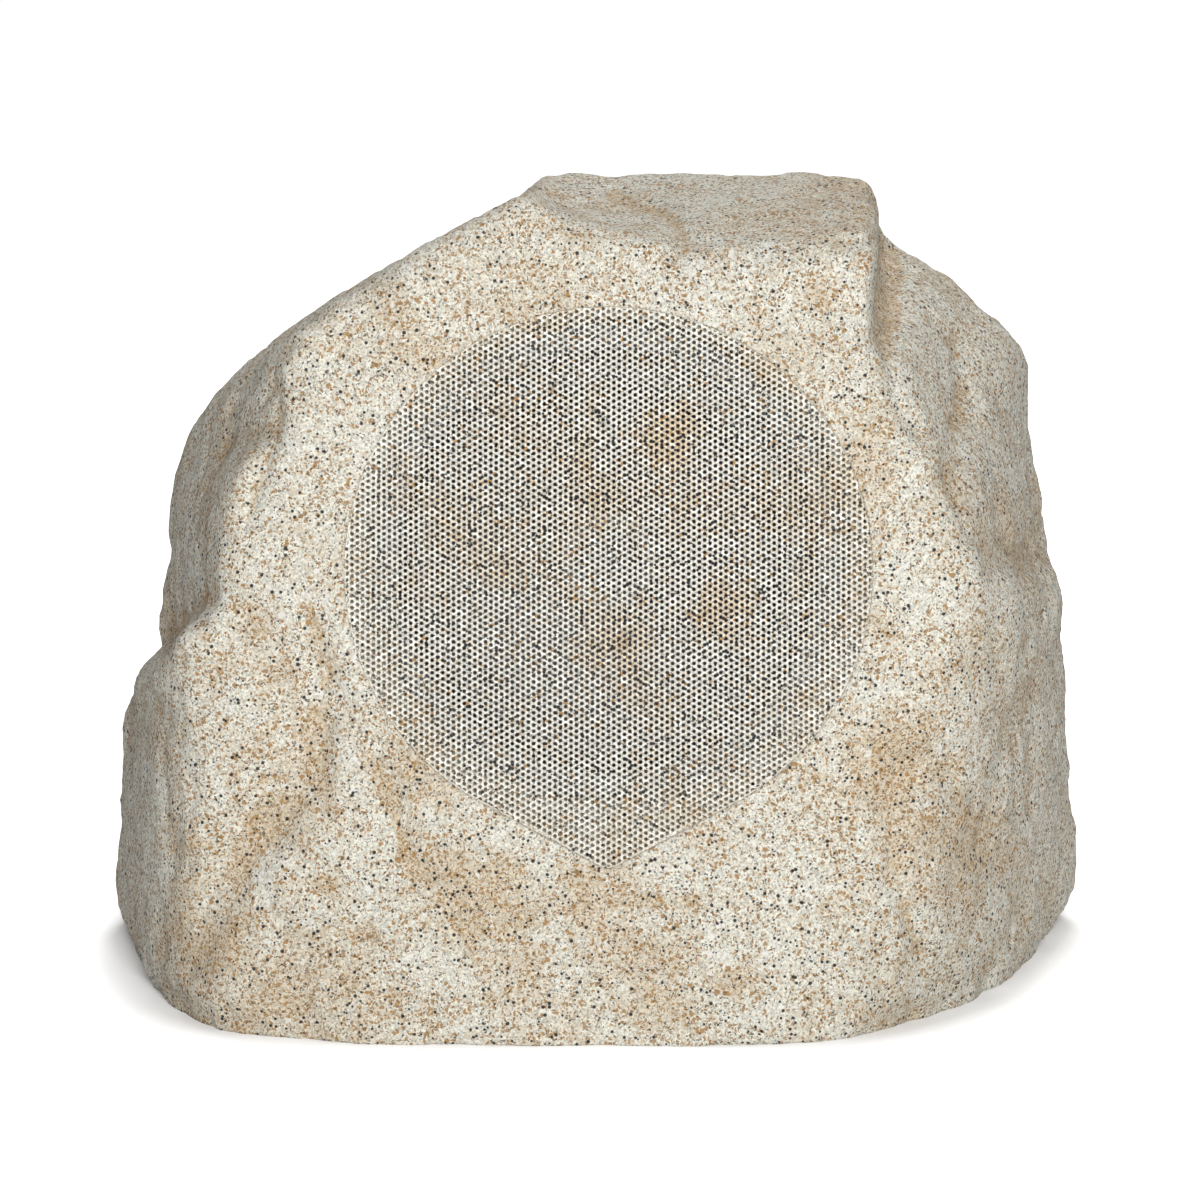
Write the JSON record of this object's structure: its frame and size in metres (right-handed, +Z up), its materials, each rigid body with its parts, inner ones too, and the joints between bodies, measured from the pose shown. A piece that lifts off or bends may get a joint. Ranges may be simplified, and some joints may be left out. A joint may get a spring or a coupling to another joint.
{
  "type": "rock shaped garden speaker",
  "caption": "Hollow moulded rock with a leaning flat front, a perforated grille with a pointed lower edge and a coaxial loudspeaker behind it, for playing music outdoors.",
  "frame": {"origin": "on the ground, on the underside of the base plate, under the middle of the rock", "axes": "+Z up, the grille faces -Y, +X to the right as seen from the front"},
  "size_m": [0.3671, 0.3012, 0.2945],
  "materials": {
    "rock": "rough moulded stone look, speckled cream paint",
    "grille_paint": "matt speckled cream paint on perforated steel",
    "foam": "closed cell foam",
    "basket_paint": "satin black",
    "screw_black": "black oxide",
    "rubber": "matt",
    "cone": "moulded, fine grain",
    "aluminium": "bare",
    "copper": "enamelled wire",
    "felt": "felt",
    "spider_cloth": "resin treated cloth",
    "zinc_steel": "zinc plated",
    "ferrite": "ground ferrite",
    "brass": "turned",
    "black_plastic": "fine texture",
    "dome": "coated silk",
    "board_brown": "paper laminate",
    "board_green": "solder mask",
    "base_plastic": "moulded sheet",
    "stainless": "bright",
    "capacitor_film": "wrapped film",
    "resistor_ceramic": "fired white",
    "wadding": "polyester fleece",
    "lead_red": "insulated wire",
    "lead_black": "insulated wire"
  },
  "bodies": {
    "rock": {"rock_shell": "rock", "grille": "grille_paint", "driver_gasket": "foam", "driver_basket": "basket_paint", "driver_screws": "screw_black", "surround": "rubber", "spider": "spider_cloth", "top_plate": "zinc_steel", "magnet": "ferrite", "pole_yoke": "zinc_steel", "tweeter_post": "brass", "post_nut": "brass", "tweeter_cup": "black_plastic", "tweeter_magnet": "ferrite", "tweeter_plate": "zinc_steel", "tweeter_dome": "dome", "tweeter_face": "black_plastic", "terminal_strip": "board_brown", "terminal_tags": "brass", "base_plate": "base_plastic", "base_gasket": "foam", "base_screws": "stainless", "crossover_board": "board_green", "board_screws": "stainless", "inductor_bobbin": "black_plastic", "inductor_coil": "copper", "capacitor": "capacitor_film", "resistor": "resistor_ceramic", "gland_body": "black_plastic", "gland_seal": "rubber", "gland_cap": "black_plastic", "gland_locknut": "black_plastic", "wadding": "wadding", "woofer_leads": "lead_red", "tweeter_leads": "lead_black"},
    "woofer": {"cone": "cone", "voice_coil_former": "aluminium", "voice_coil": "copper", "dust_ring": "felt"}
  },
  "joints": [
    {"name": "cone_travel", "type": "slide", "parent": "rock", "child": "woofer", "axis": [0, -0.9781, 0.2079], "range_m": [-0.004, 0.004], "stiffness_N_per_m": 1250, "deforming": ["surround", "spider"]}
  ]
}
